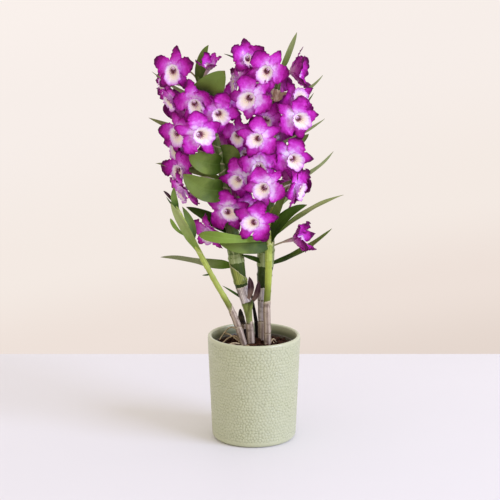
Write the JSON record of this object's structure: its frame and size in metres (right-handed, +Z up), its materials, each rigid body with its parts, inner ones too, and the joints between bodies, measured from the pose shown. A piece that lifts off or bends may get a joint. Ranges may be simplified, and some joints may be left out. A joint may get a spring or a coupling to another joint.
{
  "type": "potted dendrobium orchid",
  "caption": "Flowering dendrobium orchid with upright canes, narrow leaves and sprays of magenta blooms with white lips, in a dimpled sage-green glazed cover pot.",
  "frame": {"origin": "centre of the pot's flat underside", "axes": "+Z up; the side that the blooms face is -Y; +X is to the right as seen from there"},
  "size_m": [0.2742, 0.1528, 0.5831],
  "materials": {
    "pot_glaze": "satin, dimpled",
    "nursery_plastic": "semi-gloss",
    "bark_mix": "rough",
    "mature_cane": "satin",
    "young_cane": "satin",
    "old_cane": "matt, papery",
    "petal": "matt"
  },
  "bodies": {
    "root": {"pot": "pot_glaze", "nursery_pot": "nursery_plastic", "medium": "bark_mix", "cane_centre": "mature_cane", "cane_right_back": "mature_cane", "cane_left": "young_cane", "cane_right_front": "young_cane", "cane_old": "old_cane", "bulb_old": "old_cane", "bloom_01": "petal", "bloom_02": "petal", "bloom_03": "petal", "bloom_04": "petal", "bloom_05": "petal", "bloom_06": "petal", "bloom_07": "petal", "bloom_08": "petal", "bloom_09": "petal", "bloom_10": "petal", "bloom_11": "petal", "bloom_12": "petal", "bloom_13": "petal", "bloom_14": "petal", "bloom_15": "petal", "bloom_16": "petal", "bloom_17": "petal", "bloom_18": "petal", "bloom_19": "petal", "bloom_20": "petal", "bloom_21": "petal", "bloom_22": "petal", "bloom_23": "petal", "bloom_24": "petal", "bloom_25": "petal", "bloom_26": "petal", "bloom_27": "petal", "bloom_28": "petal", "bloom_29": "petal", "bloom_30": "petal", "bloom_31": "petal", "bloom_32": "petal", "bloom_33": "petal", "bloom_34": "petal", "bloom_35": "petal", "bloom_36": "petal", "bloom_37": "petal", "bloom_38": "petal", "bloom_39": "petal", "bloom_40": "petal", "bloom_41": "petal"}
  },
  "joints": []
}
